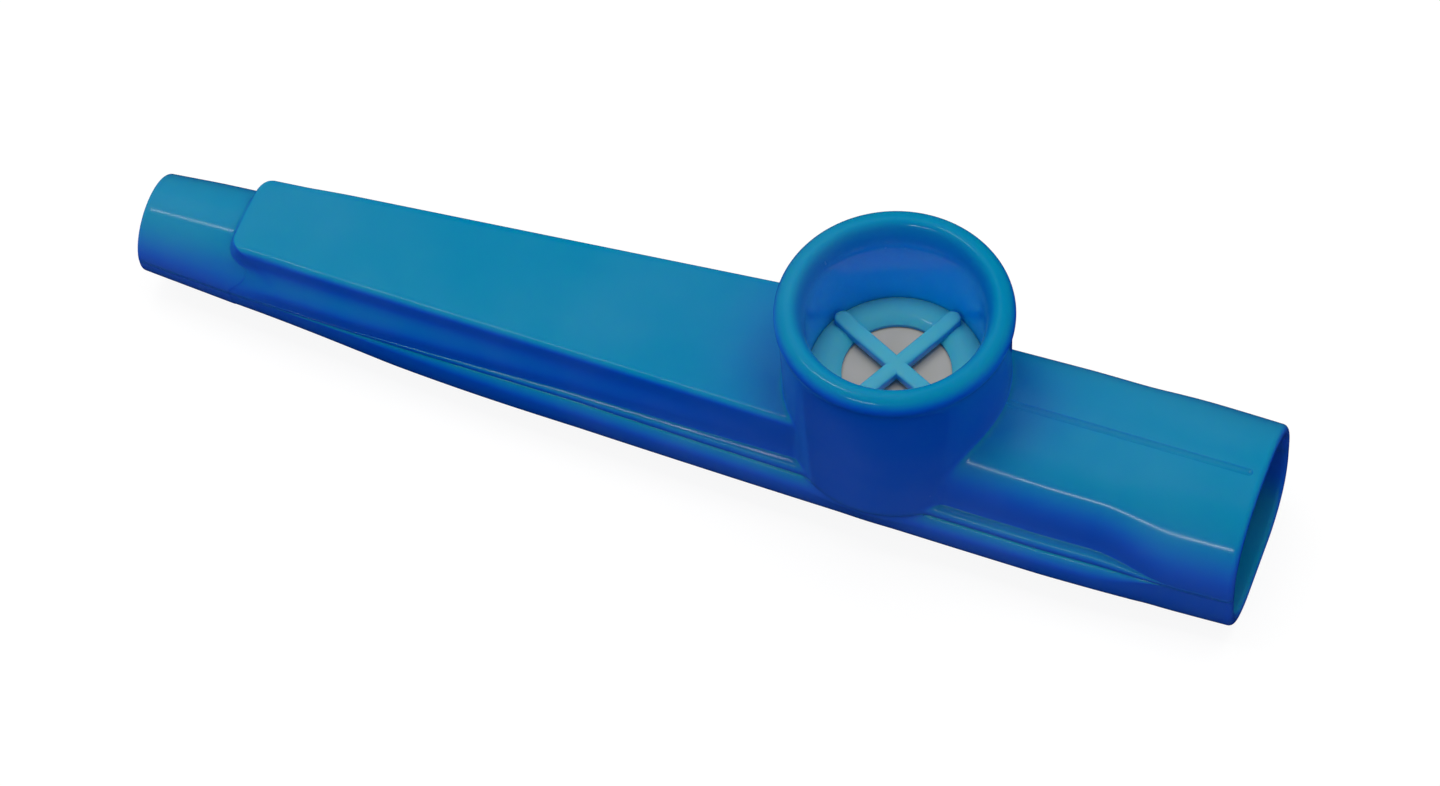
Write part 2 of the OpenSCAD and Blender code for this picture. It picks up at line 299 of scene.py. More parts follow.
# Finish of the surfaces. Reliefs are (strength, depth).
CLOUD_TINT = {"Saturation": 0.96, "Value": 1.05}
PLASTIC_ROUGHNESS = {"To Min": 0.13, "To Max": 0.2}
SCRATCH_ROUGHNESS = 0.12
PEEL_RELIEF = (0.08, 0.05 * MM)
SCRATCH_RELIEF = (0.1, 0.01 * MM)
PLASTIC_BODY = {
    "Specular IOR Level": 0.28,
    "Subsurface Weight": 0.6,
    "Subsurface Radius": (0.1, 0.35, 1),
    "Subsurface Scale": 1.6 * MM,
}
FILM_FINISH = {"Roughness": 0.6}
FILM_RELIEF = (0.25, 0.05 * MM)
RING_FINISH = {"Roughness": 0.55}
RING_RELIEF = (0.1, 0.05 * MM)

# Light: the world's brightness, and lamps as (place, size, power)
WORLD = 0.52
KEY = ((0, 0.07, 0.65), (0.5, 0.35), 1.85)
GLOW = ((-0.2, 0.2, 0.6), (0.5, 0.4), 0.13)
STRIP = ((-0.26, -0.08, 0.6), (0.28, 0.02), 0.28)
LOW_STRIP = ((-0.052, -0.48, 0.345), (0.2, 0.01), 0.24)

# Floor
FLOOR_SIZE = 2
FLOOR = 0.14
FLOOR_GLOW = 1 - 0.75 * FLOOR

# The photograph's camera
CAMERA_AZIMUTH = math.radians(24.35)
CAMERA_ELEVATION = math.radians(56.71)
CAMERA_ROLL = math.radians(-4.97)
CAMERA_TARGET = (2.49 * MM, 0, 4.67 * MM)
CAMERA_DISTANCE = 562.07 * MM
CAMERA_LENS = 137.5
CAMERA_SENSOR = 36
CAMERA_CLIP = 0.01


# Shape of the body along its length

def clamp(s):
    return max(0.0, min(1.0, s))


def ease(s):
    s = clamp(s)
    return s * s * (3 - 2 * s)


def mix(a, b, s):
    return a + (b - a) * s


def part_of(x, start, end):
    return clamp((x - start) / (end - start))


def seam_half(x):
    """Half of the body's width at the seam."""
    if x <= TUBE_LENGTH:
        return TIP_R + TUBE_SLOPE * x
    if x >= WIDEST_X:
        return mix(HULL_R, MOUTH_R, part_of(x, WIDEST_X, LENGTH) ** 2)
    s = x / WIDEST_X
    rise = TUBE_SLOPE * WIDEST_X
    return (TIP_R * (1 + 2 * s) * (1 - s) ** 2 + rise * s * (1 - s) ** 2
            + HULL_R * s * s * (3 - 2 * s) - HULL_SLOPE_SHARE * rise * s * s * (1 - s))


def bottom_z(x):
    """Height of the underside, which is cut flat where the body is widest."""
    return max(0, AXIS_Z - seam_half(x))


def seam_z(x):
    return mix(AXIS_Z, SEAM_Z, part_of(x, TUBE_LENGTH, SEAM_RUN))


def squareness(x):
    """Nothing at the round tube, and one where the body has its full form."""
    return ease(part_of(x, TUBE_LENGTH, SEAM_RUN))


def across(x):
    """Nothing in front of the turret, and one behind it."""
    return ease(part_of(x, TURRET_X - CROSSING, TURRET_X + CROSSING))


def top_z(x):
    deck = mix(DECK_FRONT_Z, DECK_BACK_Z, part_of(x, TUBE_LENGTH, TURRET_X))
    side = mix(SIDE_Z, MOUTH_Z, part_of(x, TURRET_X, LENGTH))
    return mix(deck, side, across(x))


def deck_half(x):
    return mix(DECK_FRONT_HALF, DECK_BACK_HALF, part_of(x, TUBE_LENGTH, TURRET_X))


def before_mouth(x):
    """One along the body, and nothing where the ledge has run out near the mouth."""
    end = LENGTH - SHOULDER_END
    return 1 - ease(part_of(x, end - SHOULDER_FADE, end))


def side_power(x):
    """How square the side behind the turret is."""
    return mix(MOUTH_POWER, SIDE_POWER, before_mouth(x))


def shoulder(x):
    """Width and height of the ledge between the seam and the foot of the side wall."""
    share = part_of(x, SHOULDER_START, SHOULDER_FULL) * before_mouth(x)
    wide = mix(SHOULDER_LEAST_WIDTH, SHOULDER_WIDTH, share)
    high = mix(SHOULDER_LEAST_HEIGHT, SHOULDER_HEIGHT, share)
    return wide, high


# Curves

def towards(a, b, distance):
    """The point at a distance from a on its way to b, and never past the middle."""
    step = b - a
    return a + step * min(distance / max(step.length, LEAST_LENGTH), MOST_OF_LINE)


def bent(first, corner, last, s):
    """A point of the curve that leaves first towards the corner and comes to last from it."""
    return first * (1 - s) ** 2 + corner * 2 * s * (1 - s) + last * s * s


def rounded(before, corner, after, near, far, steps):
    """A curve that rounds a corner between two straight lines."""
    first = towards(corner, before, near)
    last = towards(corner, after, far)
    return [bent(first, corner, last, i / steps) for i in range(steps + 1)]


def straight(a, b, count):
    return [a.lerp(b, (i + 1) / (count + 1)) for i in range(count)]


def round_edge(steps):
    """A quarter of a circle, as pairs of shares: how far along, and how far still to go across."""
    turns = [QUARTER_TURN * i / steps for i in range(steps + 1)]
    return [(1 - math.cos(a), 1 - math.sin(a)) for a in turns]


def square_quarter(i, steps, power):
    """Width and height, as shares, at a step along a quarter of a rounded square."""
    t = QUARTER_TURN * i / steps
    return max(math.cos(t), 0) ** (2 / power), max(math.sin(t), 0) ** (2 / power)


def arc(centre, radius, start, end, count):
    """Points round a circle, between two turns in degrees."""
    points = []
    for i in range(count):
        a = math.radians(mix(start, end, i / (count - 1)))
        points.append((centre[0] + radius * math.cos(a), centre[1] + radius * math.sin(a)))
    return points


def spread(start, end, step):
    """Places from start to end, about one step apart, without the end."""
    count = max(1, round((end - start) / step))
    return [mix(start, end, i / count) for i in range(count)]


def spaced(rows):
    """All the places of a table of (start, spacing up to the next start)."""
    places = []
    for (start, step), (end, _) in zip(rows, rows[1:]):
        places += spread(start, end, step)
    return places


# Cross-sections, as lists of (y, z) from the seam at +Y to the middle of the top or the underside

def flank_start(x):
    """Half of the width at the seam, with the lower flank rounded out below it."""
    share = squareness(x) * before_mouth(x)
    return seam_half(x) + share * (FLANK_BULGE - FLANK_ROUND * (1 - math.cos(FLANK_TILT)))


def ledge(x):
    """The sloping shoulder, and the rounded corner where the side wall stands on it."""
    half, base = flank_start(x), seam_z(x)
    wide, high = shoulder(x)
    run = LEDGE_SHARE * wide
    seam = Vector((half, base))
    brow = Vector((half - BROW_IN_SHARE * wide, base + BROW_UP_SHARE * high))
    slope = Vector((half - run, base + high - run * LEDGE_SLOPE))
    foot = Vector((half - wide, base + high))
    points = [bent(seam, brow, slope, i / EDGE_STEPS) for i in range(EDGE_STEPS + 1)]
    up = foot + Vector((0, VALLEY))
    corner = rounded(slope, foot, up, VALLEY_SHARE * wide, VALLEY, VALLEY_STEPS)
    return points + straight(points[-1], corner[0], LEDGE_POINTS) + corner


def deck_sides(x, foot):
    """The side wall, the rounded edge and the flat top of the deck."""
    edge = Vector((deck_half(x), top_z(x)))
    middle = Vector((0, edge.y))
    brow = rounded(edge - Vector((0, 1)), edge, middle, DECK_EDGE, DECK_EDGE, EDGE_STEPS)
    wall = []
    for p in straight(foot, Vector((foot.x, brow[0].y)), WALL_POINTS):
        out = ease(part_of(edge.y - p.y, WALL_STEP_TOP, WALL_STEP_FOOT))
        wall.append(Vector((mix(edge.x, foot.x, out), p.y)))
    return wall + brow + straight(brow[-1], middle, WALL_POINTS) + [middle]


def round_sides(x, foot, count):
    """The rounded side and top between the turret and the mouth."""
    points = []
    power = side_power(x)
    for i in range(count):
        t = math.radians(mix(SIDE_START_DEGREES, 90, i / (count - 1)))
        y = foot.x * max(math.cos(t), 0) ** (2 / power)
        z = foot.y + (top_z(x) - foot.y) * math.sin(t) ** (2 / power)
        points.append(Vector((y, z)))
    return points


def upper_side(x):
    """One side of the upper shell, from the seam to the middle of the top."""
    low = ledge(x)
    foot = low[-1]
    deck = deck_sides(x, foot)
    side = round_sides(x, foot, len(deck))
    return low + [d.lerp(s, across(x)) for d, s in zip(deck, side)]


def tube_section(x, like):
    """The round tube's side, with its points at the same turns as those of another section."""
    radius = seam_half(x)
    points = []
    for p in like:
        a = math.atan2(p.y - AXIS_Z, p.x)
        points.append(Vector((radius * math.cos(a), AXIS_Z + radius * math.sin(a))))
    return points


def risen(x, deck):
    """A section between the round tube and the deck, which rises fast at the top."""
    points = []
    for t, d in zip(tube_section(x, deck), deck):
        run = mix(FLANK_RAMP, DECK_RAMP, ease(part_of(d.y, RAMP_LOW_Z, RAMP_HIGH_Z)))
        points.append(t.lerp(d, ease(part_of(x, TUBE_LENGTH - DECK_LEAD, TUBE_LENGTH + run))))
    return points


def lower_flank(x, wide, turn):
    """The lower shell's side from the seam down to its widest place, without that place."""
    points = []
    fade = clamp(turn / FLANK_FADE)
    for i in range(FLANK_STEPS):
        a = FLANK_TILT * (1 - i / FLANK_STEPS)
        round_drop = turn * (math.sin(FLANK_TILT) - math.sin(a))
        drop = mix(i / FLANK_STEPS * SEAM_LAND, round_drop, fade)
        points.append(Vector((wide - turn * (1 - math.cos(a)), seam_z(x) - drop)))
    return points


def lower_side(x):
    """One side of the lower shell, from the seam down to the middle of the underside."""
    share = squareness(x) * before_mouth(x)
    wide, turn = seam_half(x) + share * FLANK_BULGE, share * FLANK_ROUND
    power = mix(mix(TUBE_POWER, HULL_POWER, squareness(x)), FLANK_POWER, share)
    widest = seam_z(x) - mix(SEAM_LAND, turn * math.sin(FLANK_TILT), clamp(turn / FLANK_FADE))
    bottom = bottom_z(x)
    deep = bottom - FLAT_DEPTH * squareness(x)
    points = lower_flank(x, wide, turn)
    for i in range(BELLY_STEPS + 1):
        out, down = square_quarter(i, BELLY_STEPS, power)
        z = mix(widest, deep, down)
        gap = clamp((z - bottom) / FLAT_BLEND * 0.5 + 0.5)
        z = mix(bottom, z, gap) + FLAT_BLEND * gap * (1 - gap) if gap < 1 else z
        points.append(Vector((wide * out, max(z, bottom))))
    return points


def seam_rounded(points, up):
    """Rounds the edge that meets the other shell: up is 1 for the upper shell and -1 below."""
    first = points[0]
    start = [
        first + Vector((-SEAM_ROUND, 0)),
        first + Vector((-SEAM_BEND, SEAM_BEND * up)),
        first + Vector((0, SEAM_ROUND * up)),
    ]
    return start + points[2 if up > 0 else 1:]


def drawn_in(points, x, inset, centre_z, reach):
    """A section made smaller by an inset, with its reach measured from centre_z."""
    wide = (seam_half(x) - inset) / seam_half(x)
    high = (reach - inset) / reach
    return [Vector((p.x * wide, centre_z + (p.y - centre_z) * high)) for p in points]


# Meshes

def at(x, y, z):
    return Vector((START + x, y, z))


def both_sides(points, x):
    right = [at(x, p.x, p.y) for p in points]
    left = [at(x, -p.x, p.y) for p in reversed(points[:-1])]
    return right + left


def piece_from(bm, name):
    bmesh.ops.recalc_face_normals(bm, faces=bm.faces)
    mesh = bpy.data.meshes.new(name)
    bm.to_mesh(mesh)
    bm.free()
    piece = bpy.data.objects.new(name, mesh)
    bpy.context.scene.collection.objects.link(piece)
    return piece


def skin(name, rings):
    """A closed solid over rings of points: a sheet of faces, shaped, rolled up and capped."""
    columns, rows = len(rings[0]), len(rings)
    bm = bmesh.new()
    bmesh.ops.create_grid(bm, x_segments=columns, y_segments=rows - 1, size=1)
    for vert in bm.verts:
        i = round((vert.co.x + 1) / 2 * columns) % columns
        j = round((vert.co.y + 1) / 2 * (rows - 1))
        vert.co = rings[j][i]
    bmesh.ops.remove_doubles(bm, verts=bm.verts, dist=SAME_PLACE)
    bmesh.ops.dissolve_degenerate(bm, edges=bm.edges, dist=SAME_PLACE)
    caps = bmesh.ops.holes_fill(bm, edges=[e for e in bm.edges if e.is_boundary], sides=0)
    bmesh.ops.triangulate(bm, faces=caps["faces"])
    return piece_from(bm, name)


def turned(name, profile, steps, centre, axis=(0, 0, 1)):
    """A closed solid of revolution from a closed outline of (radius, height) points."""
    bm = bmesh.new()
    turn = Vector((0, 0, 1)).rotation_difference(Vector(axis)).to_matrix()
    verts = [bm.verts.new(centre + turn @ Vector((r, 0, z))) for r, z in profile]
    edges = [bm.edges.new((verts[i - 1], verts[i])) for i in range(len(verts))]
    bmesh.ops.spin(bm, geom=verts + edges, cent=centre, axis=Vector(axis), angle=math.tau,
                   steps=steps, use_merge=True)
    bmesh.ops.remove_doubles(bm, verts=bm.verts, dist=SAME_PLACE)
    return piece_from(bm, name)


def combine(piece, tool, operation):
    """Joins or cuts a solid with another, and deletes the other."""
    step = piece.modifiers.new("combine", "BOOLEAN")
    step.operation = operation
    step.solver = "MANIFOLD"
    step.object = tool
    result = piece.evaluated_get(bpy.context.evaluated_depsgraph_get())
    finished = bpy.data.meshes.new_from_object(result)
    piece.modifiers.clear()
    old = piece.data
    piece.data = finished
    bpy.data.meshes.remove(old)
    bpy.data.objects.remove(tool)


def copied(form, name):
    piece = form.copy()
    piece.data = form.data.copy()
    piece.name = name
    bpy.context.scene.collection.objects.link(piece)
    return piece


def smooth(piece, angle):
    piece.data.shade_smooth()
    piece.data.set_sharp_from_angle(angle=angle)


# Body

def outer_rows():
    """Rows of the outer skin, as (place, how far it is drawn in)."""
    rows = [(TIP_ROUND * along, TIP_ROUND * left) for along, left in round_edge(TIP_STEPS)]
    rows += [(x, 0) for x in spaced(OUTER_ROWS)]
    for along, left in round_edge(EDGE_STEPS):
        rows.append((LENGTH - LIP_ROUND * left, LIP_ROUND * along))
    return rows


def corner_bend(x, point):
    """How far a row bends back round the deck's front corners."""
    before = ease(part_of(x, BEND_START, BEND_FULL))
    behind = 1 - ease(part_of(x, TUBE_LENGTH + DECK_RAMP, BEND_END))
    over = clamp((point.x - (DECK_FRONT_HALF - DECK_CORNER)) / DECK_CORNER)
    bend = DECK_CORNER * (1 - math.sqrt(1 - over * over))
    return bend * before * behind * ease(part_of(point.y, seam_z(x), seam_z(x) + BEND_RISE))


def upper_form():
    """The solid outside of the upper shell, without its turret."""
    rings = []
    for x, inset in outer_rows():
        points = upper_side(max(x, TUBE_LENGTH))
        if x < TUBE_LENGTH + FLANK_RAMP:
            points = risen(x, points)
        base = seam_z(x)
        points = drawn_in(points, x, inset, base, top_z(max(x, TUBE_LENGTH)) - base)
        points = seam_rounded(points, 1)
        ring = [Vector((x + corner_bend(x, p), p.x, p.y)) for p in points]
        right = [at(p.x, p.y, p.z) for p in ring]
        left = [at(p.x, -p.y, p.z) for p in reversed(ring[:-1])]
        rings.append(right + left)
    return skin("upper_form", rings)


def lower_form():
    """The solid outside of the lower shell, without the turret's foot."""
    rings = []
    for x, inset in outer_rows():
        base = seam_z(x)
        reach = base - bottom_z(x) + SEAM_STEP
        points = drawn_in(lower_side(x), x, inset + SEAM_STEP, base, reach)
        rings.append(both_sides(seam_rounded(points, -1), x))
    return skin("lower_form", rings)


def hollow_ring(x, inset):
    """A ring of the air way, drawn in from the outside."""
    half, base = seam_half(x) - inset, seam_z(x)
    wide, high = shoulder(x)
    foot, foot_z = half - wide, base + high
    top = mix(deck_half(x) - inset, foot, across(x))
    rise = top_z(x) - inset - foot_z
    power = mix(DECK_POWER, side_power(x), across(x))
    side = [Vector((half, base))]
    for i in range(HOLLOW_STEPS + 1):
        out, up = square_quarter(i, HOLLOW_STEPS, power)
        side.append(Vector((foot * out * (1 - (1 - top / foot) * up), foot_z + rise * up)))
    deep = drawn_in(lower_side(x), x, inset, base, base - bottom_z(x))
    lower_left = [at(x, -p.x, p.y) for p in deep[1:]]
    lower_right = [at(x, p.x, p.y) for p in reversed(deep[1:-1])]
    return both_sides(side, x) + lower_left + lower_right


def air_way():
    """The hollow of the body, with a rounded edge at the mouth."""
    rings = [hollow_ring(x, WALL) for x in spaced(HOLLOW_ROWS)]
    for along, left in round_edge(EDGE_STEPS):
        rings.append(hollow_ring(LENGTH - LIP_ROUND * left, WALL - LIP_ROUND * along))
    rings.append([p + Vector((OVERRUN, 0, 0)) for p in rings[-1]])
    return skin("air_way", rings)


def tube_bore():
    """The air hole of the tube, with a rounded edge at the small end."""
    profile = [(0, -OVERRUN), (BORE_R + TIP_ROUND, -OVERRUN)]
    for along, left in round_edge(TIP_STEPS):
        profile.append((BORE_R + TIP_ROUND * left, TIP_ROUND * along))
    profile += [(BORE_R, HOLLOW_START + OVERRUN), (0, HOLLOW_START + OVERRUN)]
    return turned("tube_bore", profile, BORE_STEPS, at(0, 0, AXIS_Z), axis=(1, 0, 0))


def top_groove():
    """The fine moulded groove along the top, behind the turret, with a round end."""
    start, end, half = TURRET_X + CHAMBER_R, LENGTH - GROOVE_GAP, GROOVE_WIDTH / 2
    places = [(x, half) for x in spread(start, end - half, GROOVE_ROW)]
    for i in range(GROOVE_END_STEPS):
        a = QUARTER_TURN * i / GROOVE_END_STEPS
        places.append((end - half + half * math.sin(a), half * math.cos(a)))
    rings = []
    for x, wide in places:
        top, deep = top_z(x), GROOVE_DEPTH * wide / half
        side = [(wide, OVERRUN), (wide, 0), (GROOVE_SIDE_SHARE * wide, -GROOVE_SIDE_SHARE * deep)]
        points = side + [(0, -GROOVE_FLOOR_SHARE * deep)] + [(-y, z) for y, z in reversed(side)]
        rings.append([at(x, y, top + z) for y, z in points])
    return skin("top_groove", rings)


def groove_end():
    """The small round dimple in which the groove ends."""
    x = LENGTH - GROOVE_GAP - GROOVE_WIDTH / 2
    profile = [(0, -DIMPLE_DEPTH), (DIMPLE_R, -DIMPLE_EDGE), (DIMPLE_R, OVERRUN), (0, OVERRUN)]
    return turned("groove_end", profile, DIMPLE_STEPS, at(x, 0, top_z(x)))


# Turret

def wall_r(z):
    """Outer radius of the turret's wall at a height."""
    return mix(FOOT_R, NECK_R, part_of(z, SEAM_Z, ROLL_Z))


def neck_fillet():
    """The curve from the wall to the rolled rim, and the turn in degrees where it ends."""
    leave = NECK_TURN_DEGREES - math.degrees(math.acos((NECK_R - ROLL_X) / ROLL_R))
    a = math.radians(leave)
    last = Vector((ROLL_X + ROLL_R * math.cos(a), ROLL_Z + ROLL_R * math.sin(a)))
    neck = Vector((NECK_R, last.y - (last.x - NECK_R) / math.tan(-a)))
    first = towards(neck, Vector((NECK_R, SEAM_Z)), NECK_FILLET)
    curve = [bent(first, neck, last, i / EDGE_STEPS) for i in range(EDGE_STEPS)]
    return [(p.x, p.y) for p in curve], leave


def turret_ring():
    """The turret with its rolled rim, cup, seat and chamber, as one turned solid."""
    under, leave = neck_fillet()
    heights = spaced(((SEAM_Z, FINE_ROW), (FILLET_TOP, PLAIN_ROW), (under[0][1], 0)))
    profile = [(wall_r(z), z) for z in heights] + under
    profile += arc((ROLL_X, ROLL_Z), ROLL_R, leave, 90, RIM_STEPS)
    for i in range(1, RIM_STEPS + 1):
        a = QUARTER_TURN * i / RIM_STEPS
        r = ROLL_X - (ROLL_X - CUP_R) * math.sin(a)
        profile.append((r, RIM_TOP - RIM_FLARE * (1 - math.cos(a))))
    cup = spread(SEAT_Z + CUP_MARGIN, RIM_TOP - RIM_FLARE - CUP_MARGIN, PLAIN_ROW)
    profile += [(CUP_R, z) for z in reversed(cup)]
    profile += [(CUP_R, SEAT_Z), (SEAT_HOLE_R, SEAT_Z), (SEAT_HOLE_R, CHAMBER_TOP)]
    profile += [(CHAMBER_R, CHAMBER_TOP), (CHAMBER_R, SEAM_Z)]
    return turned("turret_ring", profile, TURRET_STEPS, at(TURRET_X, 0, 0))


def cylinder(name, radius, low, high):
    profile = [(0, low), (radius, low), (radius, high), (0, high)]
    return turned(name, profile, COLUMN_STEPS, at(TURRET_X, 0, 0))


def foot_start_r():
    """Radius of the turret's foot where it leaves the lower shell."""
    return seam_half(TURRET_X) - SHOULDER_WIDTH


def foot_wall_r(z):
    return mix(foot_start_r(), FOOT_R, (z - SEAM_Z + FOOT_DEPTH) / FOOT_DEPTH)


def foot_cone(inset):
    """The part of the turret's foot that stands out of the lower shell."""
    narrow = foot_start_r() - inset
    low = SEAM_Z - FOOT_DEPTH
    profile = [(0, low), (narrow, low)]
    for i in range(1, FOOT_STEPS + 1):
        r = mix(narrow, FOOT_R - inset, i / FOOT_STEPS)
        profile.append((r, low + FOOT_DEPTH * i / FOOT_STEPS))
    return turned("foot_cone", profile + [(0, SEAM_Z)], TURRET_STEPS, at(TURRET_X, 0, 0))


def outward(p):
    """The level way from the turret's middle line to a point."""
    return Vector((p.x - at(TURRET_X, 0, 0).x, p.y, 0))


def fillet_move(p, tree, radius_at, slope, reach):
    """What to take off a point's place to bring it onto the fillet, or None beyond the fillet."""
    out = outward(p)
    from_wall = (out.length - radius_at(p.z)) * (1 / math.sqrt(1 + slope * slope))
    place, normal, _, _ = tree.find_nearest(p)
    away = p - place
    from_body = away.length if away.dot(normal) >= 0 else -away.length
    near = mix(TURRET_FILLET, reach, part_of(SEAM_Z - p.z, 0, reach))
    if max(abs(from_wall), abs(from_body)) > near:
        return None
    if min(from_wall, from_body) < -FILLET_BEHIND_SHARE * near:
        return None
    share = clamp(0.5 + 0.5 * (from_wall - from_body) / near)
    least = mix(from_wall, from_body, share) - near * share * (1 - share)
    from_axis = (out.normalized() + Vector((0, 0, -slope))).normalized()
    pull = normal * share + from_axis * (1 - share)
    return pull * (least / max(pull.length_squared, FILLET_LEAST_PULL))


def blend_foot(piece, form, radius_at, slope, reach):
    """Rounds the corner between the body and the turret by moving the points near it."""
    tree = BVHTree.FromObject(form, bpy.context.evaluated_depsgraph_get())
    for vert in piece.data.vertices:
        p = vert.co.copy()
        if not FOOT_R - FILLET_ZONE < outward(p).length < FOOT_R + FILLET_ZONE:
            continue
        for _ in range(FILLET_PASSES):
            move = fillet_move(p, tree, radius_at, slope, reach)
            if move is None:
                break
            p -= move
        if abs(vert.co.z - SEAM_Z) < ON_SEAM:
            p.z = vert.co.z
        vert.co = p


# Pieces

def upper_shell():
    form = upper_form()
    piece = copied(form, "upper_body")
    combine(piece, top_groove(), "DIFFERENCE")
    combine(piece, groove_end(), "DIFFERENCE")
    combine(piece, cylinder("column", CORE_R, -OVERRUN, RIM_TOP), "DIFFERENCE")
    combine(piece, turret_ring(), "UNION")
    air = air_way()
    combine(air, cylinder("seat_zone", CHAMBER_R, CHAMBER_TOP, RIM_TOP), "DIFFERENCE")
    combine(piece, air, "DIFFERENCE")
    combine(piece, tube_bore(), "DIFFERENCE")
    slope = (NECK_R - FOOT_R) / (ROLL_Z - SEAM_Z)
    blend_foot(piece, form, wall_r, slope, TURRET_FILLET)
    bpy.data.objects.remove(form)
    smooth(piece, SHARP_ANGLE_BODY)
    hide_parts("upper_shell")
    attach(piece, "body")
    return piece


def lower_shell():
    form = lower_form()
    piece = copied(form, "lower_body")
    combine(piece, foot_cone(0), "UNION")
    combine(piece, air_way(), "DIFFERENCE")
    combine(piece, foot_cone(WALL), "DIFFERENCE")
    combine(piece, tube_bore(), "DIFFERENCE")
    slope = (FOOT_R - foot_start_r()) / FOOT_DEPTH
    blend_foot(piece, form, foot_wall_r, slope, FOOT_FILLET)
    bpy.data.objects.remove(form)
    smooth(piece, SHARP_ANGLE_BODY)
    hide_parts("lower_shell")
    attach(piece, "body")
    return piece


def flange(name):
    """The grille's retaining ring: low at both edges and domed between them."""
    profile = [
        (HOLE_R + FLANGE_CHAMFER, 0),
        (GRILLE_R - FLANGE_CHAMFER, 0),
        (GRILLE_R, FLANGE_CHAMFER),
    ]
    for i in range(FLANGE_STEPS + 1):
        s = i / FLANGE_STEPS
        rise = (FLANGE_CREST - FLANGE_EDGE) * math.sin(math.pi * s) ** FLANGE_POWER
        profile.append((mix(GRILLE_R, HOLE_R, s), FLANGE_EDGE + rise))
    profile.append((HOLE_R, FLANGE_CHAMFER))
    return turned(name, profile, GRILLE_STEPS, at(TURRET_X, 0, GRILLE_Z))


def bar_section(s):
    """The outline of a bar at a share of its half span, from -1 to 1."""
    half = BAR_SPAN / 2
    end = max(0, (abs(s) * half - (half - BAR_WIDTH / 2)) / (BAR_WIDTH / 2))
    wide = BAR_WIDTH / 2 * math.sqrt(max(BAR_END_LEAST, 1 - end * end))
    nose = NOSE_RISE * ease(part_of(abs(s) * half, half - NOSE_START, half - NOSE_FULL))
    drop = BAR_END_DROP_SHARE * BAR_WIDTH / 2 * (1 - math.sqrt(max(0.0, 1 - end * end)))
    top = BAR_TOP - NOSE_RISE + nose - drop
    points = []
    for i in range(BAR_ROUND_STEPS + 1):
        a = 2 * QUARTER_TURN * i / BAR_ROUND_STEPS
        out = wide * math.copysign(abs(math.cos(a)) ** BAR_SIDE_POWER, math.cos(a))
        z = top - BAR_EDGE * (1 - math.sin(a) ** BAR_TOP_POWER)
        points.append(Vector((s * half, out, z)))
    low = BAR_TOP - BAR_DEPTH
    return points + [Vector((s * half, -wide, low)), Vector((s * half, wide, low))]


def bar(turn):
    """One bar of the cross, with a flat top, rounded edges and raised round ends."""
    rings = []
    spin = Matrix.Rotation(turn, 3, "Z")
    for i in range(BAR_STEPS + 1):
        s = math.sin(QUARTER_TURN * (2 * i / BAR_STEPS - 1))
        rings.append([at(TURRET_X, 0, GRILLE_Z) + spin @ p for p in bar_section(s)])
    return skin("grille_bar", rings)


def grille():
    piece = flange("grille_cross")
    combine(piece, bar(BAR_TURN), "UNION")
    combine(piece, bar(BAR_TURN + QUARTER_TURN), "UNION")
    smooth(piece, SHARP_ANGLE_GRILLE)
    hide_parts("grille")
    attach(piece, "grille_body")
    return piece


# Shader nodes

def node_group(name, outputs):
    group = bpy.data.node_groups.new(name, "ShaderNodeTree")
    for output in outputs:
        group.interface.new_socket(output, in_out="OUTPUT", socket_type="NodeSocketFloat")
    return group, group.nodes, group.links


def blank_material(name):
    material = bpy.data.materials.new(name)
    material.use_nodes = True
    return material, material.node_tree.nodes, material.node_tree.links


def grouped(nodes, name):
    node = nodes.new("ShaderNodeGroup")
    node.node_tree = groups[name]
    return node.outputs


def set_values(node, values):
    for name, value in values.items():
        node.inputs[name].default_value = value


def arithmetic(nodes, links, operation, first, second):
    node = nodes.new("ShaderNodeMath")
    node.operation = operation
    node.use_clamp = operation == "ADD"
    for socket, value in zip(node.inputs, (first, second)):
        if isinstance(value, float):
            socket.default_value = value
        else:
            links.new(value, socket)
    return node.outputs[0]


def ranged(nodes, links, value, low, high):
    """Nothing at low and one at high, with soft ends; low may be the larger of the two."""
    node = nodes.new("ShaderNodeMapRange")
    node.interpolation_type = "SMOOTHSTEP"
    links.new(value, node.inputs["Value"])
    set_values(node, {"From Min": low, "From Max": high})
    return node.outputs["Result"]


def noise(nodes, links, place, scale, detail, stretch=(1, 1, 1)):
    mapping = nodes.new("ShaderNodeMapping")
    mapping.inputs["Scale"].default_value = stretch
    links.new(place, mapping.inputs["Vector"])
    texture = nodes.new("ShaderNodeTexNoise")
    set_values(texture, {"Scale": scale, "Detail": detail})
    links.new(mapping.outputs["Vector"], texture.inputs["Vector"])
    return texture.outputs["Fac"]


def mixed(nodes, links, factor, first, second):
    node = nodes.new("ShaderNodeMix")
    node.data_type = "RGBA"
    links.new(factor, node.inputs["Factor"])
    for socket, value in ((node.inputs["A"], first), (node.inputs["B"], second)):
        if isinstance(value, tuple):
            socket.default_value = (*value, 1)
        else:
            links.new(value, socket)
    return node.outputs["Result"]


def relief(nodes, links, height, strength, depth):
    node = nodes.new("ShaderNodeBump")
    set_values(node, {"Strength": strength, "Distance": depth})
    links.new(height, node.inputs["Height"])
    return node


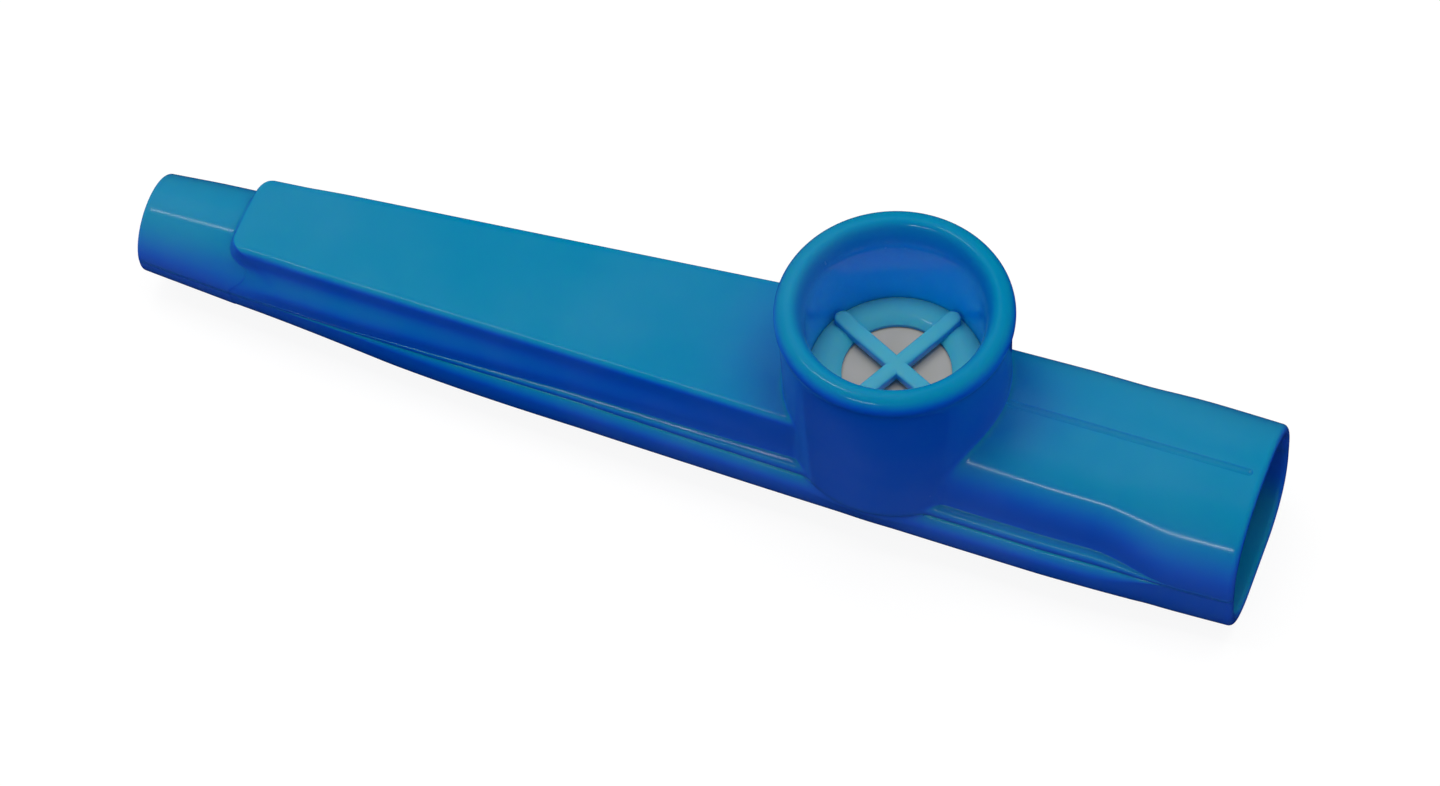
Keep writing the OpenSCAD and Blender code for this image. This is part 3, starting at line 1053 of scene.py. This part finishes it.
def painted_rim_light(nodes, links, place):
    """Painted light: a lighter patch at the top of the cup's inner wall, where light would come in
    through the rim.
    """
    flat = nodes.new("ShaderNodeVectorMath")
    flat.operation = "MULTIPLY_ADD"
    links.new(place, flat.inputs[0])
    flat.inputs[1].default_value = (1, 1, 0)
    flat.inputs[2].default_value = (-START - TURRET_X, 0, 0)
    radius = nodes.new("ShaderNodeVectorMath")
    radius.operation = "LENGTH"
    links.new(flat.outputs[0], radius.inputs[0])
    split = nodes.new("ShaderNodeSeparateXYZ")
    links.new(place, split.inputs["Vector"])
    inside = ranged(nodes, links, radius.outputs["Value"], *RIM_LIT_RADII)
    high = ranged(nodes, links, split.outputs["Z"], *RIM_LIT_HEIGHTS)
    return arithmetic(nodes, links, "MULTIPLY", inside, high)


def painted_shade_and_light_group():
    """Masks for painted shade and light: clear on tops, painted shade on sides and in nooks,
    painted light in hollows and at the top of the cup.
    """
    group, nodes, links = node_group("depth", ["Nook", "Depth", "Painted_hollow_light"])
    place = nodes.new("ShaderNodeTexCoord")
    split = nodes.new("ShaderNodeSeparateXYZ")
    links.new(place.outputs["Normal"], split.inputs["Vector"])
    # Painted shade: deeper colour on faces that look less far up, where less light falls
    side = ranged(nodes, links, split.outputs["Z"], *PAINTED_SIDE_SHADE_RANGE)
    # Painted light at the top of the cup's inner wall takes the painted side shade away there
    lit = painted_rim_light(nodes, links, place.outputs["Object"])
    lit = arithmetic(nodes, links, "MULTIPLY", lit, RIM_LIT_SHARE)
    unlit = arithmetic(nodes, links, "SUBTRACT", 1.0, lit)
    # Ambient occlusion, for the painted shade in nooks and the painted light in hollows
    shelter = nodes.new("ShaderNodeAmbientOcclusion")
    shelter.samples = SHELTER_SAMPLES
    shelter.only_local = True
    shelter.inputs["Distance"].default_value = SHELTER_REACH
    open_share = shelter.outputs["AO"]
    output = nodes.new("NodeGroupOutput")
    # Painted shade in nooks, where the ambient occlusion finds the place closed in
    links.new(ranged(nodes, links, open_share, *PAINTED_NOOK_SHADE_RANGE), output.inputs["Nook"])
    links.new(arithmetic(nodes, links, "MULTIPLY", side, unlit), output.inputs["Depth"])
    # Painted light in deep hollows, where light would shine in through the thin walls
    links.new(ranged(nodes, links, open_share, *PAINTED_HOLLOW_LIGHT_RANGE), output.inputs["Painted_hollow_light"])
    return group


def wear_group():
    """Cloudy colour, handling marks and fine scratches of moulded plastic."""
    group, nodes, links = node_group("wear", ["Cloud", "Smear", "Scratch", "Orange peel"])
    place = nodes.new("ShaderNodeTexCoord").outputs["Object"]
    smear = ranged(nodes, links, noise(nodes, links, place, *SMEAR_NOISE), *SMEAR_RANGE)
    along = ranged(nodes, links, noise(nodes, links, place, *ALONG_NOISE), *ALONG_RANGE)
    crossed = ranged(nodes, links, noise(nodes, links, place, *CROSSED_NOISE), *CROSSED_RANGE)
    output = nodes.new("NodeGroupOutput")
    links.new(noise(nodes, links, place, *CLOUD_NOISE), output.inputs["Cloud"])
    links.new(smear, output.inputs["Smear"])
    links.new(arithmetic(nodes, links, "MAXIMUM", along, crossed), output.inputs["Scratch"])
    links.new(noise(nodes, links, place, *PEEL_NOISE), output.inputs["Orange peel"])
    return group


# Materials

def plastic_colour(nodes, links, wear, clear, painted_nook_shade, deep, hollow):
    """Colour with painted shade in nooks and on sides, painted light in hollows, and a little
    cloudy.
    """
    # The depth group's masks carry painted shade and painted light
    depth = grouped(nodes, "depth")
    colour = mixed(nodes, links, depth["Nook"], clear, painted_nook_shade)
    colour = mixed(nodes, links, depth["Depth"], colour, deep)
    # The hollow colour is painted light
    colour = mixed(nodes, links, depth["Painted_hollow_light"], colour, hollow)
    tint = nodes.new("ShaderNodeHueSaturation")
    set_values(tint, CLOUD_TINT)
    links.new(colour, tint.inputs["Color"])
    links.new(ranged(nodes, links, wear["Cloud"], *CLOUD_RANGE), tint.inputs["Fac"])
    return tint.outputs["Color"]


def plastic_roughness(nodes, links, wear):
    rough = nodes.new("ShaderNodeMapRange")
    links.new(wear["Smear"], rough.inputs["Value"])
    set_values(rough, PLASTIC_ROUGHNESS)
    scratched = arithmetic(nodes, links, "MULTIPLY", wear["Scratch"], SCRATCH_ROUGHNESS)
    return arithmetic(nodes, links, "ADD", rough.outputs["Result"], scratched)


def plastic(name, colours):
    """Glossy plastic that light sinks into, with painted shade and light in its colour, orange
    peel and fine scratches.
    """
    material, nodes, links = blank_material(name)
    shader = nodes["Principled BSDF"]
    wear = grouped(nodes, "wear")
    links.new(plastic_colour(nodes, links, wear, *colours), shader.inputs["Base Color"])
    links.new(plastic_roughness(nodes, links, wear), shader.inputs["Roughness"])
    peel = relief(nodes, links, wear["Orange peel"], *PEEL_RELIEF)
    scratch = relief(nodes, links, wear["Scratch"], *SCRATCH_RELIEF)
    scratch.invert = True
    links.new(peel.outputs["Normal"], scratch.inputs["Normal"])
    links.new(scratch.outputs["Normal"], shader.inputs["Normal"])
    set_values(shader, PLASTIC_BODY)
    return material


def film_material():
    """A thin paper-like film, slightly uneven where it is stretched."""
    material, nodes, links = blank_material("film")
    shader = nodes["Principled BSDF"]
    place = nodes.new("ShaderNodeTexCoord").outputs["Object"]
    cloud = ranged(nodes, links, noise(nodes, links, place, *FILM_NOISE), *FILM_RANGE)
    links.new(mixed(nodes, links, cloud, FILM_DARK, FILM_LIGHT), shader.inputs["Base Color"])
    wrinkle = relief(nodes, links, noise(nodes, links, place, *FIBRE_NOISE), *FILM_RELIEF)
    links.new(wrinkle.outputs["Normal"], shader.inputs["Normal"])
    set_values(shader, FILM_FINISH)
    return material


def ring_material():
    """Matt white plastic of the ring under the film."""
    material, nodes, links = blank_material("ring")
    shader = nodes["Principled BSDF"]
    wear = grouped(nodes, "wear")
    colour = mixed(nodes, links, wear["Cloud"], RING_DARK, RING_LIGHT)
    links.new(colour, shader.inputs["Base Color"])
    peel = relief(nodes, links, wear["Orange peel"], *RING_RELIEF)
    links.new(peel.outputs["Normal"], shader.inputs["Normal"])
    set_values(shader, RING_FINISH)
    return material


def dress(piece, material):
    piece.data.materials.clear()
    piece.data.materials.append(material)


# Scene

def placed(name, data, right, up, back, place):
    """An object that looks along -back, with its right and up sides given."""
    thing = bpy.data.objects.new(name, data)
    bpy.context.scene.collection.objects.link(thing)
    turn = Matrix((right, up, back)).transposed().to_4x4()
    thing.matrix_world = Matrix.Translation(place) @ turn
    return thing


def area_light(name, place, size, power):
    """A rectangular lamp, long in X, that faces the middle of the kazoo."""
    light = bpy.data.lights.new(name, "AREA")
    light.shape = "RECTANGLE"
    light.size, light.size_y = size
    light.energy = power
    away = Vector(place).normalized()
    side = Vector((1, 0, 0))
    side = (side - away * side.dot(away)).normalized()
    return placed(name, light, side, away.cross(side), away, Vector(place))


def studio():
    """Soft light from above and behind, with two narrow lamps for the fine highlights."""
    world = bpy.data.worlds.new("studio")
    bpy.context.scene.world = world
    world.use_nodes = True
    background = world.node_tree.nodes["Background"]
    background.inputs["Color"].default_value = (WORLD, WORLD, WORLD, 1)
    world.cycles_visibility.glossy = False
    key = area_light("key", *KEY)
    key.visible_glossy = False
    area_light("glow", *GLOW)
    area_light("strip", *STRIP)
    area_light("low_strip", *LOW_STRIP)


def floor_material():
    """Diffuse, and bright enough for the camera to see it as white."""
    material, nodes, links = blank_material("floor")
    nodes.clear()
    output = nodes.new("ShaderNodeOutputMaterial")
    add = nodes.new("ShaderNodeAddShader")
    diffuse = nodes.new("ShaderNodeBsdfDiffuse")
    diffuse.inputs["Color"].default_value = (FLOOR, FLOOR, FLOOR, 1)
    glow = nodes.new("ShaderNodeEmission")
    seen = nodes.new("ShaderNodeLightPath").outputs["Is Camera Ray"]
    links.new(arithmetic(nodes, links, "MULTIPLY", seen, FLOOR_GLOW), glow.inputs["Strength"])
    links.new(diffuse.outputs[0], add.inputs[0])
    links.new(glow.outputs[0], add.inputs[1])
    links.new(add.outputs[0], output.inputs["Surface"])
    return material


def floor():
    """The floor, which the kazoo's gloss doesn't mirror."""
    bm = bmesh.new()
    bmesh.ops.create_grid(bm, x_segments=1, y_segments=1, size=FLOOR_SIZE)
    piece = piece_from(bm, "floor")
    piece.data.materials.append(floor_material())
    piece.visible_glossy = False


def camera():
    """The photograph's camera: its direction, tilt, distance and lens."""
    level = math.cos(CAMERA_ELEVATION)
    sideways, forward = math.sin(CAMERA_AZIMUTH), math.cos(CAMERA_AZIMUTH)
    back = Vector((sideways * level, -forward * level, math.sin(CAMERA_ELEVATION)))
    right = Vector((forward, sideways, 0))
    up = back.cross(right)
    view_right = right * math.cos(CAMERA_ROLL) + up * math.sin(CAMERA_ROLL)
    view_up = up * math.cos(CAMERA_ROLL) - right * math.sin(CAMERA_ROLL)
    data = bpy.data.cameras.new("camera")
    data.lens = CAMERA_LENS
    data.sensor_width = CAMERA_SENSOR
    data.clip_start = CAMERA_CLIP
    place = Vector(CAMERA_TARGET) + back * CAMERA_DISTANCE
    bpy.context.scene.camera = placed("camera", data, view_right, view_up, back, place)


bpy.context.scene.view_settings.view_transform = "Standard"
camera()
studio()
floor()
# The depth group holds the masks of painted shade and painted light
groups = {"depth": painted_shade_and_light_group(), "wear": wear_group()}
body_plastic = plastic("body_plastic", (BODY_CLEAR, BODY_PAINTED_NOOK_SHADE, BODY_PAINTED_SIDE_SHADE, BODY_PAINTED_HOLLOW_LIGHT))
grille_colours = (GRILLE_CLEAR, GRILLE_PAINTED_NOOK_SHADE, GRILLE_PAINTED_SIDE_SHADE, GRILLE_PAINTED_HOLLOW_LIGHT)
dress(upper_shell(), body_plastic)
dress(lower_shell(), body_plastic)
dress(grille(), plastic("grille_plastic", grille_colours))
dress(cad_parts["membrane"], film_material())
dress(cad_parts["membrane_ring"], ring_material())
